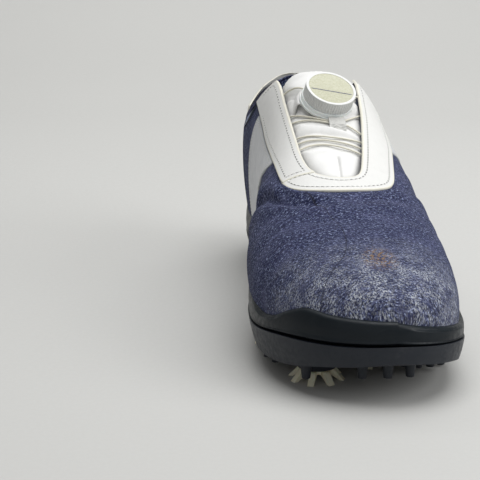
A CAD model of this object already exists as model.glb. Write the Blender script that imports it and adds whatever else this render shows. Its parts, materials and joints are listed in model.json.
import json
import math

import bmesh
import bpy
import numpy as np
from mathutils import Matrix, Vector
from mathutils.kdtree import KDTree


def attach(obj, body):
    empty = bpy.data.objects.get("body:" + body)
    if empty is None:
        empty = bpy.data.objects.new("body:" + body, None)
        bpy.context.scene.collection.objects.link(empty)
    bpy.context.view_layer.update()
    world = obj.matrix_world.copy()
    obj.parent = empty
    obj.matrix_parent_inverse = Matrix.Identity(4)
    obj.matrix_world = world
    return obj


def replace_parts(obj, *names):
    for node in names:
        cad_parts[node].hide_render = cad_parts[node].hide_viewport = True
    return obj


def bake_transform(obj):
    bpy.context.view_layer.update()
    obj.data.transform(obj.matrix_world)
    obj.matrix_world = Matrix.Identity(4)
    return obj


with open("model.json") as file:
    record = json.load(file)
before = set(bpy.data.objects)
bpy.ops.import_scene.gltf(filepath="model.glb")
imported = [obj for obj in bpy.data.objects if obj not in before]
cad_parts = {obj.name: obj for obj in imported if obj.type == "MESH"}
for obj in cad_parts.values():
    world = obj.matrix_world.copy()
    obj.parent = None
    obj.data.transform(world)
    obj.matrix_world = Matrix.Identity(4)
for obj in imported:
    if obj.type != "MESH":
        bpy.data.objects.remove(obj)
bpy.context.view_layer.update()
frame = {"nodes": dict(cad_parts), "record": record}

# A left golf shoe with a dial closure. Shape tables are in millimetres in the last's own frame
# (toe to -Y, outer side to +X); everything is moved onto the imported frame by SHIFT.
MM = 0.001
JOINTS = {joint["name"]: joint for joint in frame["record"]["behaviour"]["joints"]}
DIAL_DESIGN = np.array([1.62, 23.2, 109.5])
DIAL_AXIS = Vector(JOINTS["dial_turn"]["axis"]).normalized()
SHIFT = np.array(JOINTS["dial_turn"]["pos_m"]) / MM - DIAL_DESIGN

# ---------------------------------------------------------------- shape tables of the shoe
HALF_LENGTH = 147.0
UPPER_HALF = 143.0
UPPER_TO_SOLE = 0.955
HEEL_LEAN = 0.10
LEAN_START = 60.0
SOLE_INNER = [(-147, 4), (-143.5, -14), (-133, -31), (-118, -42), (-98, -49.5), (-78, -52),
              (-50, -50), (-25, -44), (0, -37), (25, -32), (50, -30), (75, -30.5), (100, -31.5),
              (118, -29.5), (133, -23), (143, -11), (147, 3)]
SOLE_OUTER = [(-147, 4), (-143.5, 20), (-133, 33.5), (-118, 41.5), (-98, 46.5), (-75, 49),
              (-50, 49.5), (-25, 48.5), (0, 46.5), (25, 44), (50, 42.5), (75, 41), (100, 39.5),
              (118, 36.5), (133, 29.5), (143, 17), (147, 3)]
GROOVE_INNER = [(-147, 30), (-130, 28.5), (-110, 26), (-90, 22.5), (-60, 20), (0, 19), (60, 18),
                (120, 17.5), (147, 19)]
GROOVE_OUTER = [(-147, 30), (-130, 25), (-110, 21), (-90, 18.5), (-60, 17), (0, 17), (60, 17),
                (120, 17.5), (147, 19)]
RIM_INNER = [(-147, 40), (-138, 41), (-128, 42), (-118, 38.5), (-105, 32.5), (-95, 31), (-80, 32),
             (-50, 36), (-20, 40), (20, 40), (60, 36), (120, 36), (147, 37)]
RIM_OUTER = [(-147, 40), (-130, 32.5), (-110, 28.5), (-90, 28), (-60, 28.5), (0, 30), (60, 32.5),
             (120, 35), (147, 37)]
FEATHER = [(-143, 36), (-130, 30), (-110, 26), (-90, 24), (-60, 23), (0, 24), (60, 26), (120, 29),
           (143, 30)]
HEIGHT = [(-143, 1.5), (-140, 14), (-132, 24), (-118, 33), (-98, 41), (-75, 48), (-50, 56),
          (-25, 65), (0, 76), (25, 88), (45, 98), (70, 100), (110, 96), (143, 94)]
WIDTH_POWER = [(-143, 2.4), (-100, 2.6), (-50, 2.6), (0, 2.6), (50, 2.8), (143, 2.6)]
HEIGHT_POWER = [(-143, 2.2), (-100, 2.2), (-50, 1.9), (0, 1.7), (50, 1.8), (143, 2.2)]
BULGE_OUTER = [(-143, 0), (-110, 5), (-50, 12), (0, 16), (40, 14), (80, 6), (143, 0)]
BULGE_INNER = [(-143, 0), (-115, 2), (-90, 7), (-60, 12.5), (-25, 14.5), (0, 12.5), (40, 10.5),
               (80, 13), (110, 10), (143, 0)]
RIDGE_SHIFT = [(-143, 0), (-100, -1), (-50, -2), (0, -4), (50, -6), (100, -5), (143, 0)]
TOPLINE = [(44, 125), (52, 118), (67, 103), (84, 90), (100, 86), (118, 93), (131, 106), (137, 111),
           (150, 114)]
THROAT = [(-23, 96), (-21.5, 40), (-20.8, 20), (-20.2, 0), (-19.8, -22), (-17, -36), (-8, -42.5),
          (2, -43.3), (8.8, -40), (12.9, -24), (16.4, -6.5), (20.6, 17), (22.8, 40), (24, 96)]
EYESTAY = [(-31, 90), (-30.5, 60), (-31.3, 15), (-31.8, -20), (-31, -38), (-26, -47), (-17, -51.6),
           (-5, -53.4), (10.5, -53), (21, -47.8), (25.2, -40), (27.5, -29), (29.6, -17.7), (32.6, -2),
           (34.5, 30), (35.5, 60), (35.5, 90)]
VAMP_SEAM = [(-19, -44), (-22, -51), (-15.5, -67), (-10.8, -83), (-10.2, -97), (-13.4, -110),
             (-20.2, -118.5), (-27, -128), (-36, -150)]


scene = bpy.context.scene
SEARCH_STEPS = 36  # halvings that find a point on the form


# ---------------------------------------------------------------- curves and forms, on arrays
def along(y, half):
    """Place of y on a length of 2 * half as an angle, 0 at the toe and pi at the heel."""
    return np.arccos(np.clip(-np.asarray(y, float) / half, -1, 1))


def smooth(table, half=HALF_LENGTH):
    """A smooth curve through (y, value) pairs that never overshoots them."""
    places = along([y for y, _ in table], half)
    values = np.array([value for _, value in table], float)
    widths = np.diff(places)
    steps = np.diff(values) / widths
    slopes = np.zeros(len(values))
    slopes[0], slopes[-1] = steps[0], steps[-1]
    for i in range(1, len(steps)):
        if steps[i - 1] * steps[i] > 0:
            slopes[i] = 2 * steps[i - 1] * steps[i] / (steps[i - 1] + steps[i])

    def value_at(y):
        place = along(y, half)
        i = np.clip(np.searchsorted(places, place, side="right") - 1, 0, len(steps) - 1)
        width = widths[i]
        s = (place - places[i]) / width
        return ((1 + 2 * s) * (1 - s) ** 2 * values[i] + s * (1 - s) ** 2 * width * slopes[i]
                + s * s * (3 - 2 * s) * values[i + 1] + s * s * (s - 1) * width * slopes[i + 1])
    return value_at


inner_side, outer_side, groove_inner, groove_outer, rim_inner, rim_outer = (
    smooth(table) for table in (SOLE_INNER, SOLE_OUTER, GROOVE_INNER, GROOVE_OUTER, RIM_INNER, RIM_OUTER))
feather, height, width_power, height_power, bulge_outer, bulge_inner, ridge_shift = (
    smooth(table, UPPER_HALF)
    for table in (FEATHER, HEIGHT, WIDTH_POWER, HEIGHT_POWER, BULGE_OUTER, BULGE_INNER, RIDGE_SHIFT))


def section_point(y, turn, offset=0.0):
    """Points on the upper's sections: turn is 0 at the outer feather edge and pi at the inner."""
    y, turn = np.broadcast_arrays(np.asarray(y, float), np.asarray(turn, float))
    on_sole = y * HALF_LENGTH / UPPER_HALF
    left = inner_side(on_sole) * UPPER_TO_SOLE
    right = outer_side(on_sole) * UPPER_TO_SOLE
    half_width = (right - left) / 2
    tall = height(y)
    half_width = half_width + offset * half_width / (half_width + np.abs(offset))
    tall = tall + offset * tall / (tall + np.abs(offset))
    across, up = np.cos(turn), np.maximum(0, np.sin(turn))
    z = tall * up ** (2 / height_power(y))
    bulge = np.where(across > 0, bulge_outer(y), bulge_inner(y))
    x = ((left + right) / 2 + half_width * np.sign(across) * np.abs(across) ** (2 / width_power(y))
         + ridge_shift(y) * z / tall + bulge * across * up)
    lean = HEEL_LEAN * np.clip((y - LEAN_START) / (UPPER_HALF - LEAN_START), 0, 1) ** 2
    return np.stack([x, y * (UPPER_HALF + offset) / UPPER_HALF - lean * z, feather(y) + z], -1)


def last_turn(holds, shape, limit):
    """The greatest turns from 0 to limit for which holds(turn) is still true, by halving."""
    low, high = np.zeros(shape), np.full(shape, limit)
    for _ in range(SEARCH_STEPS):
        middle = (low + high) / 2
        true = holds(middle)
        low = np.where(true, middle, low)
        high = np.where(true, high, middle)
    return low


def on_form(x, y, offset=0.0):
    """The point of the upper's surface at this offset over (x, y); good where y < 60."""
    x, y = np.broadcast_arrays(np.asarray(x, float), np.asarray(y, float))
    station = y * UPPER_HALF / (UPPER_HALF + offset)
    turn = last_turn(lambda t: section_point(station, t, offset)[..., 0] > x, x.shape, math.pi)
    return np.stack([x, y, section_point(station, turn, offset)[..., 2]], -1)


def at_height(y, z, side, offset=0.0):
    """The point of the upper's surface on one side (1 outer, -1 inner) at station y and height z."""
    y, z = np.broadcast_arrays(np.asarray(y, float), np.asarray(z, float))

    def point(turn):
        return section_point(y, turn if side > 0 else math.pi - turn, offset)

    return point(last_turn(lambda t: point(t)[..., 2] < z, y.shape, math.pi / 2))


# ---------------------------------------------------------------- distances used to cut panels
def segment_distance(p, a, b):
    """Distance from 2-D points p to the segment a-b."""
    ab = b - a
    share = np.clip(((p - a) @ ab) / (ab @ ab), 0, 1)
    return np.linalg.norm(p - (a + share[:, None] * ab), axis=1)


def curve_points(points, per_span=8):
    """A smooth run of points through 2-D control points."""
    points = np.asarray(points, float)
    padded = np.vstack([2 * points[0] - points[1], points, 2 * points[-1] - points[-2]])
    out = []
    for i in range(len(points) - 1):
        p0, p1, p2, p3 = padded[i:i + 4]
        s = np.arange(per_span)[:, None] / per_span
        out.append(0.5 * (2 * p1 + (p2 - p0) * s + (2 * p0 - 5 * p1 + 4 * p2 - p3) * s ** 2
                          + (3 * p1 - p0 - 3 * p2 + p3) * s ** 3))
    return np.vstack(out + [points[-1:]])


def inside_distance(p, outline):
    """Signed distance to a closed outline, positive inside it."""
    outline = np.asarray(outline, float)
    nearest = np.full(len(p), 1e9)
    inside = np.zeros(len(p), bool)
    for a, b in zip(outline, np.roll(outline, -1, axis=0)):
        nearest = np.minimum(nearest, segment_distance(p, a, b))
        spans = (a[1] > p[:, 1]) != (b[1] > p[:, 1])
        rise = b[1] - a[1] if abs(b[1] - a[1]) > 1e-9 else 1e-9
        inside ^= spans & (p[:, 0] < (b[0] - a[0]) * (p[:, 1] - a[1]) / rise + a[0])
    return np.where(inside, nearest, -nearest)


# ---------------------------------------------------------------- meshes
def placed(points):
    """Millimetre points of the last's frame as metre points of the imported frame."""
    return (np.asarray(points, float) + SHIFT) * MM


def add_mesh(name, verts, faces, body="shoe", material=None):
    """A mesh object from millimetre points, riding on a body."""
    mesh = bpy.data.meshes.new(name)
    mesh.from_pydata([tuple(v) for v in placed(verts)], [], [tuple(int(i) for i in f) for f in faces])
    mesh.update()
    obj = bpy.data.objects.new(name, mesh)
    scene.collection.objects.link(obj)
    mesh.polygons.foreach_set("use_smooth", [True] * len(mesh.polygons))
    if material:
        mesh.materials.append(material)
    if body:
        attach(obj, body)
    return obj


def set_values(obj, name, values):
    """Store one number per vertex for the material to read."""
    layer = obj.data.attributes.new(name, "FLOAT", "POINT")
    layer.data.foreach_set("value", np.asarray(values, float))


def grid_faces(rows, columns, wrap=False):
    """Quads of a rows x columns grid of vertices."""
    r = np.arange(rows - 1)[:, None]
    c = np.arange(columns if wrap else columns - 1)[None, :]
    nxt = (c + 1) % columns
    a, b = r * columns + c, r * columns + nxt
    d, e = (r + 1) * columns + c, (r + 1) * columns + nxt
    return np.stack([a, b, e, d], -1).reshape(-1, 4)


class Sheet:
    """A polygon sheet with values at its vertices, which can be cut along a value's zero line."""

    def __init__(self, verts, faces, values):
        self.verts = np.asarray(verts, float)
        self.faces = [list(f) for f in faces]
        self.values = {key: np.asarray(v, float) for key, v in values.items()}

    def cut(self, distance):
        """Keep the part where distance is above zero."""
        distance = np.asarray(distance, float)
        distance = np.where(np.abs(distance) < 1e-4, 1e-4, distance)
        new_of, made, pairs, shares = {}, 0, [], []
        base = len(self.verts)
        kept = []
        for face in self.faces:
            signs = [distance[i] > 0 for i in face]
            if all(signs):
                kept.append(face)
                continue
            if not any(signs):
                continue
            ring = []
            for k, i in enumerate(face):
                j = face[(k + 1) % len(face)]
                if distance[i] > 0:
                    ring.append(i)
                if (distance[i] > 0) != (distance[j] > 0):
                    key = (min(i, j), max(i, j))
                    if key not in new_of:
                        new_of[key] = base + made
                        made += 1
                        pairs.append(key)
                        shares.append(distance[key[0]] / (distance[key[0]] - distance[key[1]]))
                    ring.append(new_of[key])
            if len(ring) > 2:
                kept.append(ring)
        if pairs:
            a, b = np.array(pairs).T
            s = np.array(shares)
            between = self.verts[a] * (1 - s)[:, None] + self.verts[b] * s[:, None]
            self.verts = np.vstack([self.verts, between])
            for key, v in self.values.items():
                self.values[key] = np.concatenate([v, v[a] * (1 - s) + v[b] * s])
        used = np.unique([i for f in kept for i in f])
        renumber = -np.ones(len(self.verts), int)
        renumber[used] = np.arange(len(used))
        self.verts = self.verts[used]
        self.values = {key: v[used] for key, v in self.values.items()}
        self.faces = [[int(renumber[i]) for i in f] for f in kept]

    def border(self):
        """Edges with a face on one side only, in the direction of their face."""
        seen = {}
        for f in self.faces:
            for k, i in enumerate(f):
                seen[(i, f[(k + 1) % len(f)])] = True
        return [(i, j) for i, j in seen if (j, i) not in seen]

    def mark_edge(self):
        """Store each vertex's distance from the nearest border, as the value "edge"."""
        border = sorted({i for pair in self.border() for i in pair})
        self.values["edge"] = nearest_distance(self.verts, self.verts[border])

    def outward(self):
        """Vertex normals, from the faces around each vertex."""
        corners = np.array([(f[0], f[1], f[-1]) for f in self.faces])
        a, b, c = (self.verts[corners[:, k]] for k in range(3))
        normals = np.zeros_like(self.verts)
        counts = [len(f) for f in self.faces]
        owners = np.concatenate(self.faces)
        np.add.at(normals, owners, np.repeat(np.cross(b - a, c - a), counts, axis=0))
        return normals / np.maximum(np.linalg.norm(normals, axis=1), 1e-12)[:, None]

    def rim(self, profile, size=None):
        """Carry every border on by (out, down) steps from the edge, so that panels have a real edge.

        size, where given, scales the steps at each vertex.
        """
        border = self.border()
        follows, leads = dict(border), {j: i for i, j in border}
        ring = [i for i, _ in border if i in leads]
        normals = self.outward()
        place = {i: k for k, i in enumerate(ring)}
        ids = np.array(ring)
        ahead = np.array([follows[i] for i in ring])
        behind = np.array([leads[i] for i in ring])
        run = self.verts[ahead] - self.verts[behind]
        out = np.cross(run, normals[ids])
        out /= np.maximum(np.linalg.norm(out, axis=1), 1e-12)[:, None]
        last = ids
        grow = np.ones((len(ids), 1)) if size is None else size[ids][:, None]
        for away, down in profile:
            fresh = self.verts[ids] + (out * away - normals[ids] * down) * grow
            start = len(self.verts)
            self.verts = np.vstack([self.verts, fresh])
            for key in self.values:
                self.values[key] = np.concatenate([self.values[key], self.values[key][ids]])
            now = start + np.arange(len(ids))
            for i, j in border:
                if i in place and j in place and grow[place[i]] + grow[place[j]] > 0:
                    a, b = place[i], place[j]
                    self.faces.append([int(last[b]), int(last[a]), int(now[a]), int(now[b])])
            last = now

    def build(self, name, body="shoe", material=None):
        """The Blender mesh of this sheet, with its values as attributes."""
        obj = add_mesh(name, self.verts, self.faces, body, material)
        for key, v in self.values.items():
            set_values(obj, key, v)
        return obj


def surface_values(points, rows, columns):
    """Distances on a grid of points, across from the middle (u) and along (v), for patterns."""
    grid = points.reshape(rows, columns, 3)
    across = np.cumsum(np.linalg.norm(np.diff(grid, axis=1), axis=2), axis=1)
    across = np.hstack([np.zeros((rows, 1)), across])
    return (across - across[:, columns // 2][:, None]).ravel(), grid[:, :, 1].ravel()


def grid_sheet(points, rows, columns, inward=False, **values):
    """A sheet over a grid of points, with its pattern distances and any other values."""
    u, v = surface_values(points, rows, columns)
    faces = grid_faces(rows, columns)
    return Sheet(points, faces[:, ::-1] if inward else faces, {"u": u, "v": v, **values})


def form_sheet(offset, rows, columns, y_range=(-143, 143), turns=(0, math.pi)):
    """A dense grid of the upper's surface at one offset."""
    a0, a1 = along(np.array(y_range), UPPER_HALF)
    stations = -UPPER_HALF * np.cos(np.linspace(a0, a1, rows))
    turn = np.linspace(turns[0], turns[1], columns)
    points = section_point(stations[:, None], turn[None, :], offset).reshape(-1, 3)
    # the two sides meet at the middle of the toe and of the heel, where no edge is turned over
    meets = np.repeat(np.abs(stations) > UPPER_HALF - 0.01, columns).astype(float)
    return grid_sheet(points, rows, columns, inward=True, meets=meets)


# ---------------------------------------------------------------- materials
class Look:
    """A material being put together from procedural nodes."""

    def __init__(self, name, color, rough, **settings):
        self.material = bpy.data.materials.new(name)
        self.material.use_nodes = True
        self.tree = self.material.node_tree
        self.shader = self.tree.nodes["Principled BSDF"]
        self.shader.inputs["Base Color"].default_value = (*color, 1)
        self.shader.inputs["Roughness"].default_value = rough
        for key, value in settings.items():
            self.shader.inputs[key.replace("_", " ")].default_value = value
        self.material.diffuse_color = (*color, 1)

    def node(self, kind, inputs=(), **settings):
        node = self.tree.nodes.new("ShaderNode" + kind)
        for key, value in settings.items():
            setattr(node, key, value)
        for key, value in dict(inputs).items():
            self.put(node.inputs[key], value)
        return node

    def put(self, socket, value):
        if isinstance(value, bpy.types.NodeSocket):
            self.tree.links.new(value, socket)
        elif isinstance(value, tuple) and len(value) == 3 and socket.type == "RGBA":
            socket.default_value = (*value, 1)
        else:
            socket.default_value = value

    def attribute(self, name):
        return self.node("Attribute", attribute_name=name).outputs["Fac"]

    def cloth_place(self, across=1.0, along_shoe=1.0):
        """Position on the cloth in mm, each way divided by a pattern size."""
        u = self.node("Math", {0: self.attribute("u"), 1: across}, operation="DIVIDE").outputs[0]
        v = self.node("Math", {0: self.attribute("v"), 1: along_shoe}, operation="DIVIDE").outputs[0]
        return self.node("CombineXYZ", {0: u, 1: v}).outputs[0]

    def object_place(self, scale=1000.0):
        """Position on the object in mm over a pattern size."""
        place = self.node("TexCoord").outputs["Object"]
        return self.node("Mapping", {"Vector": place, "Scale": (scale, scale, scale)}).outputs[0]

    def noise(self, place, detail=2.0, rough=0.5):
        return self.node("TexNoise", {"Vector": place, "Scale": 1.0, "Detail": detail,
                                      "Roughness": rough}).outputs["Fac"]

    def ranged(self, value, low, high, to_low=0.0, to_high=1.0, smooth_step=True):
        kind = "SMOOTHSTEP" if smooth_step else "LINEAR"
        return self.node("MapRange", {"Value": value, "From Min": low, "From Max": high, "To Min": to_low,
                                      "To Max": to_high}, interpolation_type=kind).outputs[0]

    def math(self, kind, a, b=0.0):
        return self.node("Math", {0: a, 1: b}, operation=kind).outputs[0]

    def mix(self, share, a, b, blend="MIX"):
        node = self.node("Mix", {0: share}, data_type="RGBA", blend_type=blend)
        self.put(node.inputs[6], a)
        self.put(node.inputs[7], b)
        return node.outputs[2]

    def color(self, socket):
        self.put(self.shader.inputs["Base Color"], socket)

    def rough(self, socket):
        self.put(self.shader.inputs["Roughness"], socket)

    def bump(self, heightmap, strength=0.3, distance=0.0002):
        normal = self.node("Bump", {"Height": heightmap, "Strength": strength, "Distance": distance})
        if self.shader.inputs["Normal"].links:
            self.put(normal.inputs["Normal"], self.shader.inputs["Normal"].links[0].from_socket)
        self.put(self.shader.inputs["Normal"], normal.outputs[0])


def heather():
    """Knitted textile: navy yarn with paler and darker flecks running round the foot, scuffed at the toe."""
    look = Look("heather_textile", (0.06, 0.06, 0.12), 0.85, Sheen_Weight=0.03, Sheen_Roughness=0.5,
                Specular_IOR_Level=0.25)
    look.shader.inputs["Sheen Tint"].default_value = (0.6, 0.65, 0.85, 1)
    bend = look.noise(look.cloth_place(18.0, 18.0))
    v = look.math("ADD", look.attribute("v"), look.ranged(bend, 0.0, 1.0, -2.2, 2.2, False))
    u = look.attribute("u")

    def yarns(length, thickness):
        round_foot, along_foot = look.math("DIVIDE", u, length), look.math("DIVIDE", v, thickness)
        return look.node("CombineXYZ", {0: round_foot, 1: along_foot}).outputs[0]

    flecks = look.noise(yarns(1.5, 0.5), 3.0, 0.7)
    fine = look.noise(look.cloth_place(0.42, 0.42), 2.0, 0.7)
    slubs = look.noise(yarns(24.0, 1.3), 2.0, 0.6)
    clouds = look.noise(look.cloth_place(14.0, 9.0), 3.0, 0.55)
    dark, mid, pale = (0.004, 0.006, 0.024), (0.040, 0.049, 0.138), (0.37, 0.43, 0.62)
    tone = look.mix(look.ranged(flecks, 0.40, 0.58), dark, mid)
    tone = look.mix(look.ranged(fine, 0.42, 0.58, 0.0, 1.0), look.mix(0.75, tone, dark), tone)
    for pattern, low, high, share, color in ((flecks, 0.55, 0.67, 0.95, pale),
                                             (slubs, 0.54, 0.78, 0.42, (0.16, 0.18, 0.32)),
                                             (slubs, 0.48, 0.26, 0.60, (0.016, 0.014, 0.036)),
                                             (clouds, 0.45, 0.72, 0.22, (0.10, 0.105, 0.20))):
        tone = look.mix(look.ranged(pattern, low, high, 0.0, share), tone, color)
    scuff = look.attribute("scuff")
    fuzz = look.noise(look.cloth_place(0.9, 0.8), 4.0, 0.8)
    patches = look.noise(look.cloth_place(8.0, 6.0), 3.0, 0.6)
    worn = look.math("MULTIPLY", look.math("MULTIPLY", scuff, look.ranged(patches, 0.36, 0.66, 0.12, 1.0)),
                     look.ranged(fuzz, 0.46, 0.60, 0.0, 0.9))
    tone = look.mix(worn, tone, (0.54, 0.57, 0.61))
    crumbs = look.noise(look.cloth_place(1.6, 1.3), 3.0, 0.75)
    spot = look.math("MULTIPLY", look.attribute("stain"), look.ranged(crumbs, 0.50, 0.58, 0.0, 0.9))
    tone = look.mix(spot, tone, (0.24, 0.14, 0.05))
    tone = look.mix(look.ranged(look.attribute("edge"), 0.0, 0.7, 0.85, 0.0), tone, (0.010, 0.010, 0.022))
    look.color(tone)
    look.bump(look.math("ADD", flecks, fine), 0.9, 0.00045)
    look.bump(slubs, 0.35, 0.0005)
    look.bump(clouds, 0.35, 0.0018)
    look.rough(look.ranged(fuzz, 0.3, 0.7, 0.78, 0.95))
    return look.material


def leather(name, color, rough=0.42, edge=(0.62, 0.60, 0.50)):
    """Coated leather: fine pebble grain, faint soil, a paler raw edge."""
    look = Look(name, color, rough, Specular_IOR_Level=0.45, Coat_Weight=0.08, Coat_Roughness=0.35)
    grain = look.node("TexVoronoi", {"Vector": look.cloth_place(0.8, 0.8), "Scale": 1.0},
                      feature="SMOOTH_F1").outputs["Distance"]
    waves = look.noise(look.cloth_place(9.0, 12.0), 3.0, 0.5)
    soil = look.noise(look.cloth_place(5.0, 5.0), 5.0, 0.65)
    tone = look.mix(look.ranged(soil, 0.50, 0.82, 0.0, 0.22), color, tuple(c * 0.78 for c in color))
    tone = look.mix(look.ranged(look.attribute("edge"), 0.0, 0.75, 0.75, 0.0), tone, edge)
    look.color(tone)
    look.rough(look.ranged(soil, 0.3, 0.7, rough - 0.06, rough + 0.12))
    look.bump(grain, 0.16, 0.00018)
    look.bump(waves, 0.25, 0.0010)
    return look.material


def woven(name, color, pale, pitch=0.9, rough=0.85, sheen=0.4):
    """Plain woven or mesh lining."""
    look = Look(name, color, rough, Sheen_Weight=sheen)
    u = look.node("TexWave", {"Vector": look.cloth_place(pitch, 1e6), "Scale": 0.16}, bands_direction="X")
    v = look.node("TexWave", {"Vector": look.cloth_place(1e6, pitch), "Scale": 0.16}, bands_direction="Y")
    weave = look.math("MULTIPLY", u.outputs["Fac"], v.outputs["Fac"])
    wear = look.noise(look.cloth_place(8.0, 8.0), 4.0, 0.6)
    tone = look.mix(look.ranged(weave, 0.1, 0.8), tuple(c * 0.6 for c in color), color)
    look.color(look.mix(look.ranged(wear, 0.45, 0.8, 0.0, 0.5), tone, pale))
    look.bump(weave, 0.6, 0.00025)
    return look.material


def moulded(name, color, rough=0.5, grain=0.35, worn=(0.2, 0.2, 0.2), wear=0.3, **settings):
    """Moulded foam, rubber or plastic with a fine texture, dust and handling marks."""
    look = Look(name, color, rough, **settings)
    fine = look.noise(look.object_place(1000 / grain), 2.0, 0.6)
    broad = look.noise(look.object_place(1000 / 9.0), 5.0, 0.62)
    dust = look.noise(look.object_place(1000 / 2.4), 5.0, 0.7)
    marks = look.math("MULTIPLY", look.ranged(broad, 0.42, 0.74), look.ranged(dust, 0.40, 0.75))
    look.color(look.mix(look.math("MULTIPLY", marks, wear), color, worn))
    look.rough(look.ranged(dust, 0.3, 0.7, max(rough - 0.08, 0.05), min(rough + 0.16, 1.0)))
    look.bump(fine, 0.25, 0.00012)
    return look.material


TEXTILE = heather()
WHITE_LEATHER = leather("white_leather", (0.60, 0.60, 0.585))
TONGUE_LEATHER = leather("tongue_leather", (0.64, 0.64, 0.63), 0.5, (0.66, 0.64, 0.56))
BAND_LEATHER = leather("pearl_band", (0.46, 0.47, 0.49), 0.36, (0.30, 0.31, 0.33))
COLLAR_CLOTH = woven("navy_collar_cloth", (0.030, 0.065, 0.16), (0.075, 0.12, 0.23), 0.7)
LINING_CLOTH = woven("grey_lining", (0.30, 0.31, 0.33), (0.42, 0.43, 0.45), 1.1)
SOCK_CLOTH = woven("sock_cloth", (0.13, 0.15, 0.20), (0.24, 0.26, 0.30), 0.8)
WEBBING = woven("white_webbing", (0.72, 0.72, 0.69), (0.80, 0.80, 0.78), 0.35, 0.7, 0.15)
MIDSOLE_FOAM = moulded("midsole_foam", (0.0055, 0.0085, 0.0115), 0.38, 0.5, (0.03, 0.035, 0.04), 0.2,
                       Specular_IOR_Level=0.2)
OUTSOLE_RUBBER = moulded("outsole_tpu", (0.010, 0.013, 0.019), 0.44, 0.35, (0.06, 0.06, 0.065), 0.35,
                         Specular_IOR_Level=0.32)
SPIKE_PLASTIC = moulded("spike_plastic", (0.80, 0.74, 0.55), 0.42, 0.6, (0.34, 0.27, 0.16), 0.7,
                        Subsurface_Weight=0.15)
HUB_PLASTIC = moulded("hub_plastic", (0.030, 0.028, 0.026), 0.4, 0.6, (0.16, 0.11, 0.06), 0.8)
KNOB_PLASTIC = moulded("knob_plastic", (0.60, 0.61, 0.60), 0.38, 0.8, (0.40, 0.40, 0.37), 0.35)
INLAY_PLASTIC = moulded("inlay_plastic", (0.33, 0.33, 0.22), 0.25, 1.2, (0.50, 0.49, 0.38), 0.5,
                        Coat_Weight=0.5, Coat_Roughness=0.12)
BASE_PLASTIC = moulded("base_plastic", (0.78, 0.79, 0.77), 0.34, 1.0, (0.60, 0.60, 0.56), 0.3,
                       Subsurface_Weight=0.1)
INDEX_PAINT = moulded("index_paint", (0.02, 0.025, 0.08), 0.35, 0.6, (0.1, 0.1, 0.14), 0.3)
LACE_COATING = moulded("lace_coating", (0.62, 0.60, 0.51), 0.45, 0.3, (0.34, 0.31, 0.24), 0.6)
THREAD = moulded("thread", (0.74, 0.74, 0.71), 0.7, 0.3, (0.5, 0.5, 0.46), 0.4)
HOLE = moulded("needle_hole", (0.03, 0.03, 0.03), 0.9, 0.3, (0.06, 0.06, 0.06), 0.2)
FLOOR_PAINT = moulded("floor", (0.46, 0.46, 0.447), 0.75, 8.0, (0.47, 0.47, 0.455), 0.1)


# ---------------------------------------------------------------- seams, edges and folds of the upper
def nearest_distance(points, targets):
    """Distance from each point to the nearest of the targets."""
    tree = KDTree(len(targets))
    for i, t in enumerate(targets):
        tree.insert(t, i)
    tree.balance()
    return np.array([tree.find(p)[2] for p in points])


def round_corners(outline, times=2, closed=False):
    """Cut the corners of an outline a few times, for edges that were trimmed by hand."""
    points = np.asarray(outline, float)
    for _ in range(times):
        ahead = np.roll(points, -1, axis=0) if closed else points[1:]
        start = points if closed else points[:-1]
        fresh = np.stack([start * 0.75 + ahead * 0.25, start * 0.25 + ahead * 0.75], 1).reshape(-1, 2)
        points = fresh if closed else np.vstack([points[:1], fresh, points[-1:]])
    return points


TOP_CURVE = curve_points(TOPLINE, 12)
THROAT_LINE = round_corners(THROAT)
EYESTAY_LINE = round_corners(EYESTAY)
SEAM_CURVE = curve_points(VAMP_SEAM, 6)
VAMP_BACK, HEEL_SEAM = 8.0, 96.0


def topline_height(y):
    return np.interp(y, TOP_CURVE[:, 0], TOP_CURVE[:, 1], left=190.0)


def below_topline(p, drop):
    """Distance below the foot opening's edge, in the side view."""
    slope = np.gradient(TOP_CURVE[:, 1], TOP_CURVE[:, 0])
    lean = np.interp(p[:, 1], TOP_CURVE[:, 0], slope, left=0.0)
    return (topline_height(p[:, 1]) - drop - p[:, 2]) / np.sqrt(1 + lean ** 2)


def outside_throat(p, grow=0.0):
    """Distance outside the throat, in plan, for the top of the foot only."""
    distance = -inside_distance(p[:, :2], THROAT_LINE) - grow
    return np.where(p[:, 2] > 60, distance, 50.0)


def in_outline(p, outline):
    return np.where(p[:, 2] > 50, inside_distance(p[:, :2], outline), -50.0)


def side_distance(p, outline):
    """Distance inside an outline drawn in the side view."""
    return inside_distance(p[:, 1:], np.asarray(outline, float))


FOLDS = (([(-45, -14), (-40, -30), (-35, -46), (-26, -57), (-14, -63)], 2.6, 2.2),
         ([(-33, -40), (-28, -50), (-20, -56)], 1.5, 1.3),
         ([(-12, -57), (6, -60), (24, -55), (38, -44)], 0.7, 3.0),
         ([(-22, -72), (-4, -78), (14, -76), (34, -66)], 0.6, 4.0),
         ([(30, -40), (38, -30), (44, -14)], 0.9, 2.2),
         ([(-44, 6), (-41, -6), (-43, -18)], 0.8, 2.0))


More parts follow.
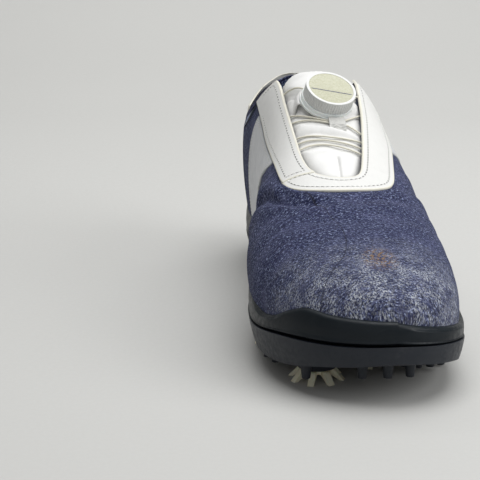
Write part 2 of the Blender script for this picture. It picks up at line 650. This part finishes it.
def folds(p):
    """Height of the textile's folds where the foot bends: valleys with a swelling on either side."""
    height = np.zeros(len(p))
    for line, deep, wide in FOLDS:
        line = curve_points(line, 6)
        away = np.full(len(p), 99.0)
        for a, b in zip(line, line[1:]):
            away = np.minimum(away, segment_distance(p[:, :2], a, b))
        ends = np.minimum(*(np.linalg.norm(p[:, :2] - end, axis=1) for end in (line[0], line[-1])))
        fade = np.clip(ends / (3 * wide), 0, 1)
        banks = 0.55 * np.exp(-((away - 2.2 * wide) / (1.3 * wide)) ** 2)
        height += fade * deep * (banks - np.exp(-(away / wide) ** 2))
    swell = 0.30 * np.sin(p[:, 0] * 0.13 + p[:, 1] * 0.21) * np.sin(p[:, 1] * 0.17 - p[:, 0] * 0.05)
    return (height + swell) * np.clip((p[:, 2] - 42) / 12, 0, 1)


# height of each layer's outer face over the foot form, and its thickness
LAYERS = {"textile": (0.0, 1.6), "eyestay_medial": (1.75, 1.7), "eyestay_lateral": (1.3, 1.25),
          "side_band": (0.85, 0.85), "heel_tab": (1.4, 1.35), "lining": (-3.0, 0.5)}


def panel(node, layer, kind, cuts, material, grid=(240, 190), y_range=(-143, 143),
          turns=(0.0, math.pi), edge_round=0.35, extra=(), relief=None):
    """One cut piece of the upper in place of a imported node, with a rounded edge all round."""
    offset, thick = LAYERS[layer]
    sheet = form_sheet(offset, grid[0], grid[1], y_range, turns)
    if relief:
        sheet.verts = sheet.verts + sheet.outward() * relief(sheet.verts)[:, None]
    for distance in cuts:
        sheet.cut(distance(sheet.verts))
    sheet.mark_edge()
    for key, function in extra:
        sheet.values[key] = function(sheet.verts)
    settled = Sheet(sheet.verts, sheet.faces, sheet.values)
    # the edge turns over: the last bit of the face sinks, then the border is carried round and down
    turns_over = np.where(sheet.values["meets"] > 0.5, 0.0, 1.0)
    r = edge_round
    sheet.rim([(r * 0.62, r * 0.22), (r, r), (r, thick)], turns_over)
    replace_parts(sheet.build(f"{node}_{kind}", "shoe", material), node)
    return settled


def scuff(p):
    front = np.clip((-92 - p[:, 1]) / 30, 0, 1)
    low = np.clip((80 - p[:, 2]) / 26, 0, 1)
    return front * (0.2 + 0.8 * low)


STAIN_AT = np.array([1.8, -115.0])


def stain(p):
    reach = np.linalg.norm((p[:, :2] - STAIN_AT) / np.array([7.0, 8.0]), axis=1)
    return np.clip(1.4 - reach, 0, 1)


def vamp_zone(p):
    area = [*SEAM_CURVE, (-60, -170), (90, -170), (90, VAMP_BACK), (0, VAMP_BACK), (0, -44)]
    return inside_distance(p[:, :2], area)


def heel_zone(p):
    area = [(HEEL_SEAM, 170), (HEEL_SEAM, 50), (HEEL_SEAM + 12, -20), (190, -20), (190, 170)]
    return side_distance(p, area)


# ---------------------------------------------------------------- textile panels
MARKS = (("scuff", scuff), ("stain", stain))
trimmed = (lambda p: below_topline(p, 1.6), lambda p: outside_throat(p))
quarters = (lambda p: -vamp_zone(p) - 0.12, lambda p: -heel_zone(p) - 0.1)
for name, zones in (
        ("vamp", (lambda p: vamp_zone(p) - 0.12,)),
        ("quarter_medial", (*quarters, lambda p: 3 - p[:, 0])),
        ("quarter_lateral", (*quarters, lambda p: p[:, 0] - 3)),
        ("heel_panel", (lambda p: heel_zone(p) - 0.1,))):
    panel(name, "textile", "textile", (*trimmed, *zones), TEXTILE, extra=MARKS, edge_round=0.3, relief=folds)


# ---------------------------------------------------------------- white overlays
def eyestay_split(p):
    (x0, y0), (x1, y1) = (-17.4, -35.4), (-30.4, -34.6)
    return inside_distance(p[:, :2], [(x0, y0), (x1, y1), (-80, y1), (-80, 200), (0, 200), (0, y0)])


UPPER_TOP = dict(grid=(300, 230), y_range=(-58, 112), turns=(0.12, 3.02))
eyestay_cuts = (lambda p: below_topline(p, 0.4), lambda p: outside_throat(p, -0.3),
                lambda p: in_outline(p, EYESTAY_LINE))
overlays = {}
for name, split in (("eyestay_medial", lambda p: eyestay_split(p) + 0.8),
                    ("eyestay_lateral", lambda p: -eyestay_split(p) + 1.2)):
    overlays[name] = panel(name, name, "leather", (*eyestay_cuts, split), WHITE_LEATHER, edge_round=0.55,
                           **UPPER_TOP)

BAND_INNER = [(-6, 112), (-6, 84), (4, 78), (17, 71), (34, 60), (46, 48), (51, 36), (53, 20), (79, 20),
              (77, 36), (73, 52), (69, 70), (64, 86), (56, 98), (44, 105), (34, 112)]
BAND_OUTER = [(-6, 112), (-6, 88), (4, 82), (16, 74), (32, 62), (43, 49), (48, 36), (50, 20), (76, 20),
              (74, 36), (70, 52), (66, 70), (60, 86), (52, 97), (42, 104), (34, 112)]
for name, outline, side in (("medial", BAND_INNER, -1), ("lateral", BAND_OUTER, 1)):
    overlays[f"side_band_{name}"] = panel(
        f"side_band_{name}", "side_band", "leather",
        (lambda p: side_distance(p, round_corners(outline, 1, True)), lambda p: below_topline(p, 1.7),
         lambda p: side * p[:, 0] - 3, lambda p: -in_outline(p, EYESTAY_LINE) - 0.1),
        BAND_LEATHER, (150, 130), (-10, 110), (0.0, 1.9) if side > 0 else (1.2, math.pi))

TAB_LINE = round_corners([(119, 170), (119, 72), (127, 60), (190, 60), (190, 170)], 2)
overlays["heel_tab"] = panel(
    "heel_tab", "heel_tab", "leather",
    (lambda p: side_distance(p, TAB_LINE), lambda p: below_topline(p, 1.2)),
    WHITE_LEATHER, (220, 190), (80, 143), edge_round=0.5)


# ---------------------------------------------------------------- linings and collar
def lining_cuts(p):
    return np.minimum(below_topline(p, 3.0), outside_throat(p, 1.0))


LINING_BOTTOM = 30.0
for name, zone in (("vamp_lining", lambda p: VAMP_BACK + 0.5 - p[:, 1]),
                   ("quarter_lining", lambda p: p[:, 1] - VAMP_BACK)):
    panel(name, "lining", "cloth", (lining_cuts, zone, lambda p: p[:, 2] - LINING_BOTTOM), LINING_CLOTH,
          (120, 120), edge_round=0.1)

COLLAR_START, COLLAR_BOTTOM = 47.0, 62.0
COLLAR_DROP = 2.2  # from the edge of the opening to the padding
COLLAR_OFFSET, COLLAR_CROWN = -4.6, 2.6
WRINKLE_HEIGHT = 0.22


def make_collar():
    """The padded collar: crowned foam under navy cloth, rolled over the edge of the opening."""
    rows, columns = 150, 240
    a0, a1 = along(np.array([40, 143]), UPPER_HALF)
    stations = -UPPER_HALF * np.cos(np.linspace(a0, a1, rows))[:, None]
    turn = np.linspace(0.25, math.pi - 0.25, columns)[None, :]
    flat = section_point(stations, turn, -5.5)
    top = topline_height(flat[..., 1])
    share = np.clip((flat[..., 2] - COLLAR_BOTTOM) / np.maximum(top - COLLAR_BOTTOM, 1), 0, 1)
    crown = np.sin(math.pi * share) ** 0.6
    wrinkle = WRINKLE_HEIGHT * np.sin(flat[..., 1] * 0.55 + 5 * share) * crown
    offset = COLLAR_OFFSET - COLLAR_CROWN * crown + wrinkle
    points = section_point(stations, turn, offset).reshape(-1, 3)
    meets = np.repeat(stations[:, 0] > UPPER_HALF - 0.01, columns).astype(float)
    sheet = grid_sheet(points, rows, columns, inward=True, meets=meets)
    for distance in (lambda p: below_topline(p, COLLAR_DROP), lambda p: p[:, 1] - COLLAR_START,
                     lambda p: p[:, 2] - COLLAR_BOTTOM, lambda p: outside_throat(p, 2.0)):
        sheet.cut(distance(sheet.verts))
    # only the top rolls over the edge of the opening: the lower edge stays inside the lining
    rolls_over = np.where(below_topline(sheet.verts, COLLAR_DROP) < 2.0, 1.0, 0.3)
    rolls_over[(sheet.values["meets"] > 0.5) & (rolls_over < 1)] = 0.0
    sheet.rim([(1.1, -0.25), (1.9, -1.0), (2.3, -2.1), (2.35, -3.1), (2.0, -4.1), (1.2, -4.8)], rolls_over)
    collar = sheet.build("collar_padding", "shoe", COLLAR_CLOTH)
    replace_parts(collar, "collar_foam", "collar_lining")


make_collar()


SOCK_LIFT, SOCK_OFFSET, SOCK_CUP = 6.4, -3.85, 2.0


def make_sockliner():
    """The removable footbed: cloth top, cupped at its edges."""
    rows, columns = 150, 50
    a = np.linspace(0.16, math.pi - 0.16, rows)
    stations = -UPPER_HALF * np.cos(a)[:, None]
    level = feather(stations) + SOCK_LIFT
    left, right = (at_height(stations, level, side, SOCK_OFFSET) for side in (-1, 1))
    s = np.linspace(0, 1, columns)[None, :, None]
    points = left * (1 - s) + right * s
    cup = (np.abs(2 * s[..., 0] - 1) ** 4) * SOCK_CUP
    points[..., 2] += cup - 0.4
    sheet = grid_sheet(points.reshape(-1, 3), rows, columns)
    sheet.rim([(0.2, 0.2), (0.3, 0.8), (0.0, 4.0)])
    liner = sheet.build("sockliner_cloth", "shoe", SOCK_CLOTH)
    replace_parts(liner, "sockliner")


make_sockliner()

# ---------------------------------------------------------------- tongue
TONGUE_GAP = 0.9
TONGUE_TOP = 57.0
TONGUE_BACK = -7.0
PILLOW_HEIGHT, SEAM_DEPTH, LANE_DEPTH, CREASE_DEPTH = 3.3, -2.5, 2.8, 1.0
TONGUE_LINE = round_corners(
    [*[(x + TONGUE_GAP, y) for x, y in THROAT[1:5]], (-14.6, -37), (-8, -41.1), (2, -41.4), (6.6, -38.8),
     *[(x - TONGUE_GAP, y) for x, y in THROAT[9:13]], (19.5, 51), (11, TONGUE_TOP - 0.6), (-1, TONGUE_TOP),
     (-12, TONGUE_TOP - 0.8), (-19.5, 51)], 2, True)
PILLOWS = ([(-26, -46), (26, -46), (26, -22.7), (-26, -10.2)],
           [(-26, 4.4), (26, -8.7), (26, -7.5), (-26, 15.0)],
           [(-26, 60), (-26, 27.7), (-14, 20.6), (-1, 12.2), (4.5, 11), (10, 12), (26, 25.7), (26, 60)])
SEAT_ROOM = [(-30, 25), (-14, 20.4), (-1, 11.6), (4.5, 10.4), (10, 11.4), (30, 29), (30, -30), (-30, -30)]


def tongue_level(p):
    """Offset of the tongue's face from the foot form: stuffed pillows with stitched valleys between."""
    xy = p[:, :2]
    edge = inside_distance(xy, TONGUE_LINE)
    level = np.full(len(xy), SEAM_DEPTH)
    for outline in PILLOWS:
        depth = np.minimum(inside_distance(xy, outline), edge - 0.3)
        tall = PILLOW_HEIGHT - 1.3 * np.clip((xy[:, 1] - 34) / 8, 0, 1)
        level += tall * (1 - np.exp(-np.clip(depth, 0, None) / 2.0))
    for (x0, y0), (x1, y1) in (((-8, 24), (-24, 41)), ((14, 26), (27, 36))):
        lane = segment_distance(xy, np.array([x0, y0]), np.array([x1, y1]))
        level -= LANE_DEPTH * np.exp(-(lane / 2.4) ** 4) * (level > SEAM_DEPTH + 0.2)
    crease = segment_distance(xy, np.array([-2.2, -39.0]), np.array([-1.0, -24.0]))
    level -= CREASE_DEPTH * np.exp(-(crease / 0.9) ** 2)
    level += 0.16 * np.sin(xy[:, 0] * 0.42 + xy[:, 1] * 0.23) + 0.12 * np.sin(xy[:, 1] * 0.6 - xy[:, 0] * 0.2)
    level -= 1.6 * np.clip((xy[:, 1] - 38) / 14, 0, 1)
    return level - 2.2 * np.exp(-np.clip(edge, 0, None) / 1.1)


def make_tongue():
    columns, rows = 130, 240
    x, y = np.meshgrid(np.linspace(-23, 25, columns), np.linspace(-43, 59, rows))
    flat = np.stack([x.ravel(), y.ravel(), np.zeros(x.size)], 1)
    points = on_form(flat[:, 0], flat[:, 1], tongue_level(flat))
    # on_form reads one offset per point, so the pillows follow the foot's curve
    sheet = grid_sheet(points, rows, columns, edge=np.zeros(len(points)))
    seams = {key: sheet.values[key] for key in "uv"}
    sheet.cut(inside_distance(sheet.verts[:, :2], TONGUE_LINE))
    sheet.mark_edge()
    settled = Sheet(sheet.verts, sheet.faces, sheet.values)
    sheet.rim([(0.25, 0.4), (0.3, 1.2), (0.0, 3.0)])
    cover = sheet.build("tongue_padding", "tongue", TONGUE_LEATHER)
    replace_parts(cover, "tongue_cover", "tongue_foam")
    under = on_form(flat[:, 0], flat[:, 1], TONGUE_BACK)
    back = Sheet(under, grid_faces(rows, columns)[:, ::-1], seams)
    back.cut(inside_distance(back.verts[:, :2], TONGUE_LINE))
    back.rim([(0.3, 0.3), (0.3, 1.0), (0.1, 2.6)])
    lining = back.build("tongue_lining_cloth", "tongue", COLLAR_CLOTH)
    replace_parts(lining, "tongue_lining")
    return settled


tongue_sheet = make_tongue()


def make_loop():
    """The webbing loop that holds the upper cables down in the middle of the tongue."""
    columns, rows = 26, 40
    s = np.linspace(0, 1, rows)[:, None]
    x = np.linspace(0.2, 8.8, columns)[None, :] + 0.0 * s
    y = 1.9 + 8.5 * s + 0.25 * np.sin(x * 1.3)
    lift = -3.0 + 3.15 * np.clip(np.sin(math.pi * s) * 1.7, 0, 1) + 0.05 * np.cos(x * 7.0)
    points = on_form(x.ravel(), y.ravel(), np.broadcast_to(lift, x.shape).ravel())
    sheet = grid_sheet(points, rows, columns)
    sheet.rim([(0.1, 0.08), (0.15, 0.3), (0.05, 0.6)])
    loop = sheet.build("lace_loop_webbing", "tongue", WEBBING)
    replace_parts(loop, "lace_loop")


make_loop()


def dial_point(radius, angle, level):
    """A point on the dial's own frame, in millimetres of the last's frame."""
    axis = np.array(DIAL_AXIS)
    side = np.array([1.0, 0.0, -axis[0] / axis[2]])
    side /= np.linalg.norm(side)
    up = np.cross(axis, side)
    return (DIAL_DESIGN + np.cos(angle)[..., None] * radius[..., None] * side
            + np.sin(angle)[..., None] * radius[..., None] * up + level[..., None] * axis)


def make_seat():
    """The moulded seat that carries the dial up from the tongue."""
    profile = curve_points([(13.0, -0.9), (15.2, -0.55), (16.0, -1.0), (16.5, -2.4), (17.3, -5.6),
                            (18.6, -9.5)], 5)
    angle = np.linspace(0, 2 * math.pi, 145)[None, :-1]
    radius, level = profile[:, 0][:, None] + 0 * angle, profile[:, 1][:, None] + 0 * angle
    points = dial_point(radius, angle + 0 * radius, level).reshape(-1, 3)
    sheet = Sheet(points, grid_faces(len(profile), 144, True), {
        "u": (radius * angle).ravel(), "v": level.ravel(), "edge": np.full(radius.size, 5.0)})
    sheet.cut(-inside_distance(sheet.verts[:, :2], SEAT_ROOM) + 0.4)
    sheet.rim([(0.2, 0.2), (0.2, 1.0)])
    sheet.build("dial_seat", "tongue", TONGUE_LEATHER)


make_seat()


KNOB_FACE, INLAY_RADIUS, INDEX_AT = 10.35, 11.4, 2.6


def make_index_line():
    """A thin dark line let into the dial's face, to show how far it has turned."""
    steps = np.linspace(-1, 1, 33)
    face = KNOB_FACE + 0.06
    verts, faces = [], []
    half = INLAY_RADIUS * math.sqrt(1 - (INDEX_AT / INLAY_RADIUS) ** 2)
    for s in steps:
        for across, lift in ((-0.30, 0.0), (-0.22, 0.05), (0.22, 0.05), (0.30, 0.0)):
            x, y = s * half, -INDEX_AT + across
            place = (math.hypot(x, y), math.atan2(y, x), face + lift)
            verts.append(dial_point(*(np.array(value) for value in place)))
    faces = grid_faces(len(steps), 4)
    add_mesh("dial_index_line", verts, faces, "dial_knob", INDEX_PAINT)


make_index_line()


GUSSET_OFFSET = -3.75


def make_gussets():
    """Thin stretch cloth that closes the gap between the tongue and the quarters."""
    rows, columns = 70, 90
    for name, outline, side in (
            ("tongue_gusset_medial", [(-29, -22), (-17, -22), (-17, 36), (-29, 36)], -1),
            ("tongue_gusset_lateral", [(10, -22), (29, -22), (30, 36), (19, 36)], 1)):
        x, y = np.meshgrid(np.linspace(-31, 31, columns), np.linspace(-23, 37, rows))
        sheet = grid_sheet(on_form(x.ravel(), y.ravel(), GUSSET_OFFSET), rows, columns)
        sheet.cut(inside_distance(sheet.verts[:, :2], outline))
        gusset = sheet.build(f"{name}_cloth", None, COLLAR_CLOTH)
        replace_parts(gusset, name)
        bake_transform(gusset)


make_gussets()


# ---------------------------------------------------------------- lace
def make_lace():
    """The coated steel lace, in two halves that bend from the guides on the shoe to the tongue."""
    source = frame["nodes"]["lace"]
    middle = SHIFT[0] * MM + 0.003
    for name, side, outer_x, inner_x in (("medial", -1, -18.0, -9.0), ("lateral", 1, 19.0, 11.0)):
        mesh = bpy.data.meshes.new(f"lace_{name}")
        work = bmesh.new()
        work.from_mesh(source.data)
        geometry = work.verts[:] + work.edges[:] + work.faces[:]
        bmesh.ops.bisect_plane(work, geom=geometry, dist=1e-7, plane_co=(middle, 0, 0), plane_no=(1, 0, 0),
                               clear_outer=side < 0, clear_inner=side > 0)
        work.to_mesh(mesh)
        work.free()
        mesh.polygons.foreach_set("use_smooth", [True] * len(mesh.polygons))
        mesh.materials.clear()
        mesh.materials.append(LACE_COATING)
        half = bpy.data.objects.new(f"lace_{name}", mesh)
        scene.collection.objects.link(half)
        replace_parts(half, "lace")
        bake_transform(half)


make_lace()

# ---------------------------------------------------------------- sole unit
GROOVE_HEIGHT, GROOVE_DEPTH = 0.8, 0.9
WALL_SWELL = 0.25
RING = 200


def sole_ring(inset, height_at, count=RING):
    """Points round the sole's outline, moved in by inset(z), at height_at(y, side)."""
    a = np.linspace(0, math.pi, count + 1)
    y = np.concatenate([-HALF_LENGTH * np.cos(a), -HALF_LENGTH * np.cos(a[-2:0:-1])])
    is_outer = np.concatenate([np.zeros(count + 1, bool), np.ones(count - 1, bool)])
    middle = (inner_side(y) + outer_side(y)) / 2
    half = np.where(is_outer, outer_side(y), inner_side(y)) - middle
    z = height_at(y, is_outer)
    move = inset(z)
    x = middle + half * np.maximum(0, 1 - move / np.maximum(np.abs(half) + move, 1e-6))
    return np.stack([x, y * (HALF_LENGTH - move) / HALF_LENGTH, z], 1)


def wall_inset(z):
    """How far the midsole's wall stands in from the sole's outline at height z."""
    return np.interp(z, [8, 12, 18, 24, 30, 36, 42, 48], [1.3, 0.8, 0.25, 0.0, 0.2, 0.85, 1.9, 3.1])


def sided(table_inner, table_outer, lift=0.0):
    return lambda y, is_outer: np.where(is_outer, table_outer(y), table_inner(y)) + lift


def make_midsole():
    """Dark foam midsole: undercut foot, swelling wall and a soft rounded lip round the upper."""
    rim_at, groove_at = sided(rim_inner, rim_outer), sided(groove_inner, groove_outer)

    def over_groove(lift):
        return sided(groove_inner, groove_outer, lift)

    rows = [sole_ring(lambda z: 14.0 + 0 * z, over_groove(0.05)),
            sole_ring(lambda z: wall_inset(z) + GROOVE_DEPTH + 0.2, over_groove(0.05)),
            sole_ring(lambda z: wall_inset(z) + GROOVE_DEPTH, over_groove(GROOVE_HEIGHT - 0.15))]
    for move, lift in ((0.75, 0.0), (0.3, 0.12), (0.08, 0.4), (0.0, 0.9)):
        rows.append(sole_ring(lambda z: wall_inset(z) + move, over_groove(GROOVE_HEIGHT + lift)))
    for share in np.linspace(0.12, 0.80, 9):
        swell = WALL_SWELL * math.sin(math.pi * share)

        def wall_at(y, outer):
            return (groove_at(y, outer) + GROOVE_HEIGHT) * (1 - share) + rim_at(y, outer) * share

        rows.append(sole_ring(lambda z: wall_inset(z) - swell + WALL_SWELL, wall_at))
    for move, drop in ((0.12, 1.7), (0.3, 1.05), (0.65, 0.5), (1.2, 0.14), (1.9, 0.0), (2.7, 0.1),
                       (3.6, 0.5), (5.0, 1.6), (7.0, 5.0)):
        rows.append(sole_ring(lambda z: wall_inset(z) + move, lambda y, o: rim_at(y, o) - drop))
    points = np.vstack(rows)
    sheet = Sheet(points, grid_faces(len(rows), 2 * RING, True)[:, ::-1], {})
    midsole = sheet.build("midsole_foam", "shoe", MIDSOLE_FOAM)
    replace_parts(midsole, "midsole")


make_midsole()


# ---------------------------------------------------------------- stitching
def chains(sheet):
    """The borders of a sheet as ordered runs of vertex numbers."""
    follows = dict(sheet.border())
    runs = []
    while follows:
        start, _ = next(iter(follows.items()))
        run = [start]
        while run[-1] in follows:
            run.append(follows.pop(run[-1]))
        runs.append(run)
    return runs


def stitch_rows(name, sheet, inset, keep, body="shoe", pitch=2.5, length=1.5, radius=0.2, material=None):
    """A row of stitches set in from the edge of a panel, where keep says so."""
    inner = Sheet(sheet.verts, sheet.faces, sheet.values)
    inner.cut(inner.values["edge"] - inset)
    normals = inner.outward()
    verts, faces, holes, hole_faces = [], [], [], []
    ring = np.linspace(0, 2 * math.pi, 9)[:-1]
    profile = [(-0.5, 0.0, -0.22), (-0.46, 0.7, -0.12), (-0.3, 1.0, 0.04), (0.0, 1.0, 0.10), (0.3, 1.0, 0.04),
               (0.46, 0.7, -0.12), (0.5, 0.0, -0.22)]
    for run in chains(inner):
        points = inner.verts[run]
        if len(points) < 12:
            continue
        for _ in range(3):
            points[1:-1] = points[1:-1] * 0.5 + (points[:-2] + points[2:]) * 0.25
        steps = np.linalg.norm(np.diff(points, axis=0), axis=1)
        travelled = np.concatenate([[0], np.cumsum(steps)])
        if travelled[-1] < 8:
            continue
        for at in np.arange(pitch / 2, travelled[-1] - pitch / 2, pitch):
            k = int(np.searchsorted(travelled, at)) - 1
            share = (at - travelled[k]) / max(steps[k], 1e-9)
            here = points[k] * (1 - share) + points[k + 1] * share
            if not keep(here):
                continue
            run_way = points[min(k + 2, len(points) - 1)] - points[max(k - 1, 0)]
            run_way /= np.linalg.norm(run_way)
            up = normals[run[k]]
            side = np.cross(up, run_way)
            base = len(verts)
            for x, r, z in profile:
                for a in ring:
                    verts.append(here + run_way * x * length + side * math.cos(a) * r * radius
                                 + up * (z + math.sin(a) * r * radius))
            faces += [[base + int(i) for i in f] for f in grid_faces(len(profile), 8, True)]
            for end in (-0.5, 0.5):
                centre = here + run_way * end * length
                first = len(holes)
                holes.append(centre - up * 0.02)
                across, along_row = side * radius * 1.8, run_way * radius * 2.7
                holes += [centre + along_row * math.cos(a) + across * math.sin(a) + up * 0.03 for a in ring]
                hole_faces += [[first, first + 1 + i, first + 1 + (i + 1) % 8] for i in range(8)]
    add_mesh(f"{name}_thread", verts, faces, body, material or THREAD)
    add_mesh(f"{name}_needle_holes", holes, hole_faces, body, HOLE)


def near_throat(p):
    return outside_throat(p[None, :])[0] < 5.5


stitch_rows("eyestay_medial", overlays["eyestay_medial"], 2.6,
            lambda p: p[1] < 96 and (near_throat(p) or p[1] < 44))
stitch_rows("eyestay_lateral", overlays["eyestay_lateral"], 2.6, lambda p: p[1] < 96)
stitch_rows("heel_tab", overlays["heel_tab"], 2.2, lambda p: True)
for side in ("medial", "lateral"):
    stitch_rows(f"side_band_{side}", overlays[f"side_band_{side}"], 1.6, lambda p: 36 < p[2] < 96,
                pitch=2.2, length=1.3, radius=0.16)
stitch_rows("tongue", tongue_sheet, 3.0, lambda p: p[1] > 26, "tongue", 2.8, 1.7)

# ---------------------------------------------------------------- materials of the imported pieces
KEPT = {"outsole": OUTSOLE_RUBBER, "soft_spikes": SPIKE_PLASTIC, "spike_hubs": HUB_PLASTIC,
        "spike_receptacles": OUTSOLE_RUBBER, "dial_knob": KNOB_PLASTIC, "dial_inlay": INLAY_PLASTIC,
        "dial_base": BASE_PLASTIC, "lace_guides": LACE_COATING, "snap_ring": HUB_PLASTIC,
        "lace_spool": KNOB_PLASTIC, "wound_lace": LACE_COATING, "pawl_disc": KNOB_PLASTIC,
        "dial_screw": HUB_PLASTIC, "shank": HUB_PLASTIC, "insole_board": LINING_CLOTH,
        "toe_puff": LINING_CLOTH, "heel_counter": LINING_CLOTH, "tongue_root": COLLAR_CLOTH}
for name, material in KEPT.items():
    node = frame["nodes"][name]
    if not node.material_slots:
        node.data.materials.append(material)
    for place in node.material_slots:
        place.material = material

# ---------------------------------------------------------------- camera, light and floor
SHOE_TURN = math.radians(7.0)
SET_SIDE = np.array([47.7, 0.0, 0.0])


def set_place(x, y, z):
    """A point of the set, level with the floor and facing the camera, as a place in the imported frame."""
    x, y = x - SET_SIDE[0], y - SET_SIDE[1]
    c, s = math.cos(SHOE_TURN), math.sin(SHOE_TURN)
    return Vector((np.array([c * x + s * y, -s * x + c * y, z]) + SHIFT) * MM)


CAMERA_REACH = 751.0
CAMERA_RISE = math.radians(15.0)
AIM_HEIGHT = 39.3
camera = bpy.data.objects.new("camera", bpy.data.cameras.new("camera"))
scene.collection.objects.link(camera)
camera.location = set_place(0, -CAMERA_REACH * math.cos(CAMERA_RISE),
                            AIM_HEIGHT + CAMERA_REACH * math.sin(CAMERA_RISE))
aim = set_place(0, 0, AIM_HEIGHT)
camera.rotation_euler = (aim - camera.location).to_track_quat("-Z", "Y").to_euler()
camera.data.sensor_width = 36.0
camera.data.lens = 105.0
camera.data.clip_start = 0.05
scene.camera = camera


def lamp(name, place, target, size, watts):
    """A white area lamp at a place of the set, facing a target; size in metres."""
    light = bpy.data.lights.new(name, "AREA")
    light.shape = "RECTANGLE"
    light.size, light.size_y = size
    light.energy = watts
    obj = bpy.data.objects.new(name, light)
    scene.collection.objects.link(obj)
    obj.location = set_place(*place)
    obj.rotation_euler = (set_place(*target) - obj.location).to_track_quat("-Z", "Y").to_euler()


lamp("overhead_softbox", (150, -100, 1100), (0, 0, 30), (1.1, 0.9), 12.5)
lamp("right_softbox", (1000, -450, 650), (40, -20, 40), (0.7, 0.7), 7.5)
lamp("front_fill", (-300, -1300, 450), (0, 0, 40), (1.0, 0.7), 0.8)
lamp("backdrop_light", (0, 550, 1000), (0, 1150, 250), (1.6, 0.4), 7.0)
world = bpy.data.worlds.new("studio")
scene.world = world
world.use_nodes = True
world.node_tree.nodes["Background"].inputs["Color"].default_value = (0.93, 0.93, 0.93, 1)
world.node_tree.nodes["Background"].inputs["Strength"].default_value = 0.28
scene.view_settings.view_transform = "Standard"
scene.view_settings.look = "None"


def sweep_floor():
    """A paper sweep: flat under the shoe and curving up behind it."""
    run = [(-1600, 0), (-800, 0), (0, 0), (500, 0), (700, 8), (900, 50), (1080, 150), (1180, 330),
           (1200, 700), (1200, 1700)]
    rows = curve_points(run, 8)
    xs = np.linspace(-1900, 1900, 20)
    verts = [(x, y, z) for y, z in rows for x in xs]
    c, s = math.cos(SHOE_TURN), math.sin(SHOE_TURN)
    verts = [(c * x + s * y, -s * x + c * y, z) for x, y, z in verts]
    floor = add_mesh("paper_sweep", verts, grid_faces(len(rows), len(xs)), body=None, material=FLOOR_PAINT)


sweep_floor()
